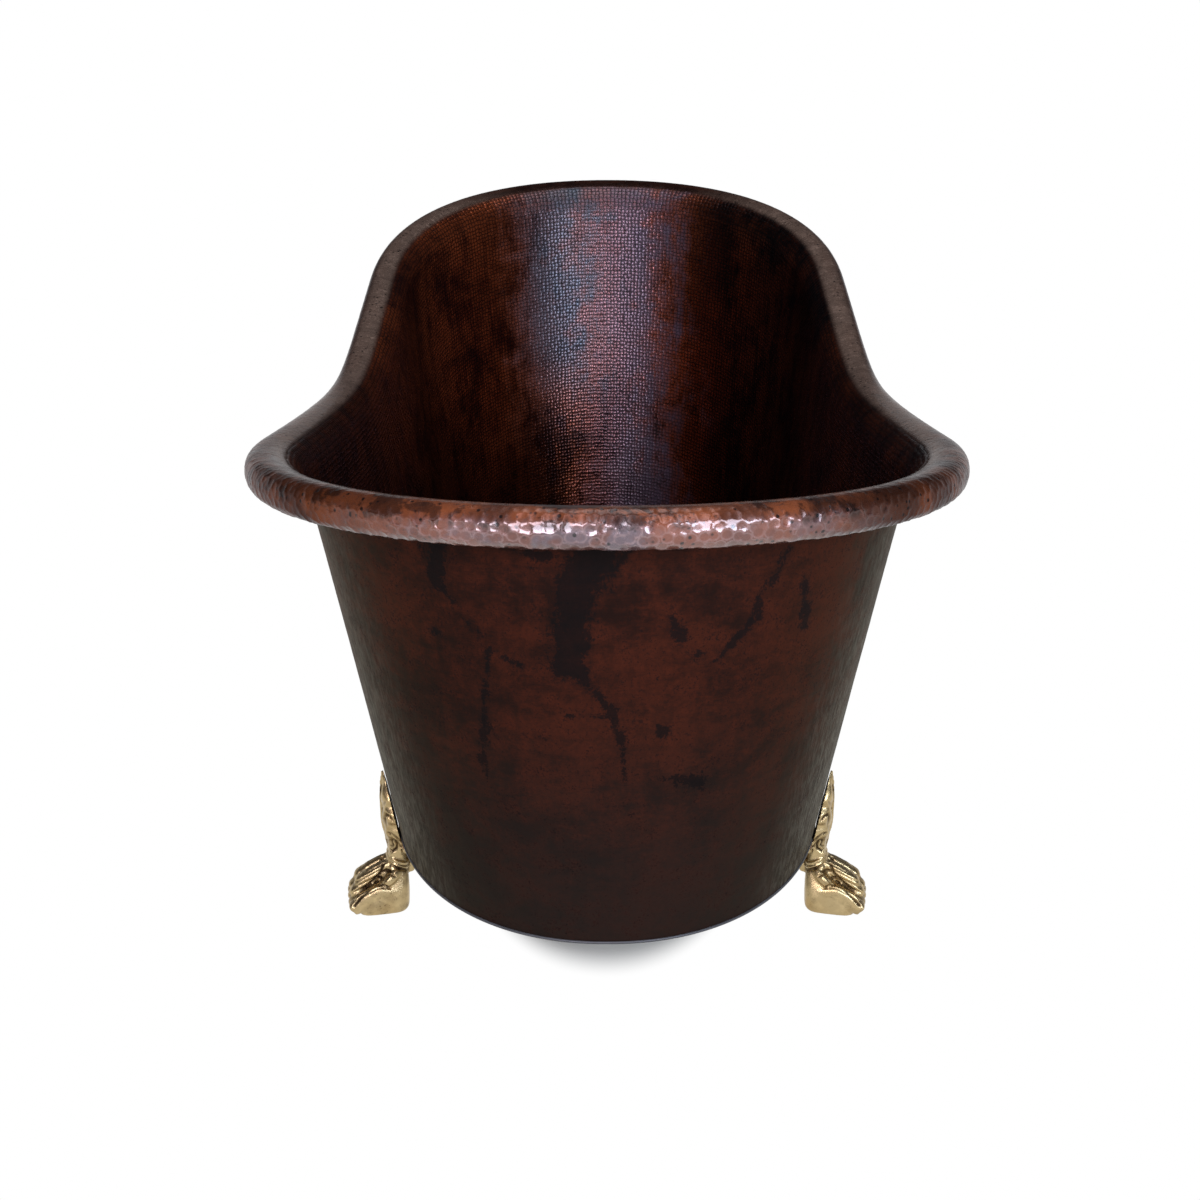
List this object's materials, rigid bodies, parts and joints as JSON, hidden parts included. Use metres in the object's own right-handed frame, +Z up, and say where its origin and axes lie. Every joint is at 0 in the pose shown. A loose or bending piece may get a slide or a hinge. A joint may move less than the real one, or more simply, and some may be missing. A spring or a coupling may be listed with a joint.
{
  "type": "freestanding slipper bath",
  "caption": "Freestanding slipper bath in hammered copper sheet with a raised head end, rolled rim, lion paw feet and a waste with a lifting stopper.",
  "frame": {"origin": "on the floor under the middle of the bath", "axes": "+Z up, +Y toward the raised head end, +X across the bath to its right side seen from the low end"},
  "size_m": [0.813, 1.676, 0.8987],
  "materials": {
    "wall_copper": "hammered copper with a dark mottled patina",
    "floor_copper": "hammered copper with a dark patina",
    "rim_copper": "hammered copper, brushed brighter over the roll",
    "foot_brass": "antiqued cast brass",
    "pad_copper": "dull copper plate",
    "fixing_brass": "turned brass",
    "waste_brass": "oil rubbed brass",
    "stopper_brass": "oil rubbed brass",
    "black_rubber": "matt rubber",
    "slip_plastic": "plain nylon"
  },
  "bodies": {
    "tub": {"tub_wall": "wall_copper", "tub_floor": "floor_copper", "rolled_rim": "rim_copper", "front_left_foot": "foot_brass", "front_right_foot": "foot_brass", "rear_left_foot": "foot_brass", "rear_right_foot": "foot_brass", "front_left_pad": "pad_copper", "front_right_pad": "pad_copper", "rear_left_pad": "pad_copper", "rear_right_pad": "pad_copper", "foot_studs": "fixing_brass", "foot_washers": "fixing_brass", "foot_nuts": "fixing_brass", "waste_body": "waste_brass", "flange_gasket": "black_rubber", "rubber_washer": "black_rubber", "slip_washer": "slip_plastic", "waste_locknut": "waste_brass", "stopper_post": "fixing_brass", "post_nut": "fixing_brass"},
    "stopper": {"stopper_cap": "stopper_brass", "guide_bush": "slip_plastic", "stopper_seal": "black_rubber", "stopper_knob": "stopper_brass"}
  },
  "joints": [
    {"name": "stopper_lift", "type": "slide", "parent": "tub", "child": "stopper", "axis": [0, 0, 1], "range_m": [0, 0.01]}
  ]
}
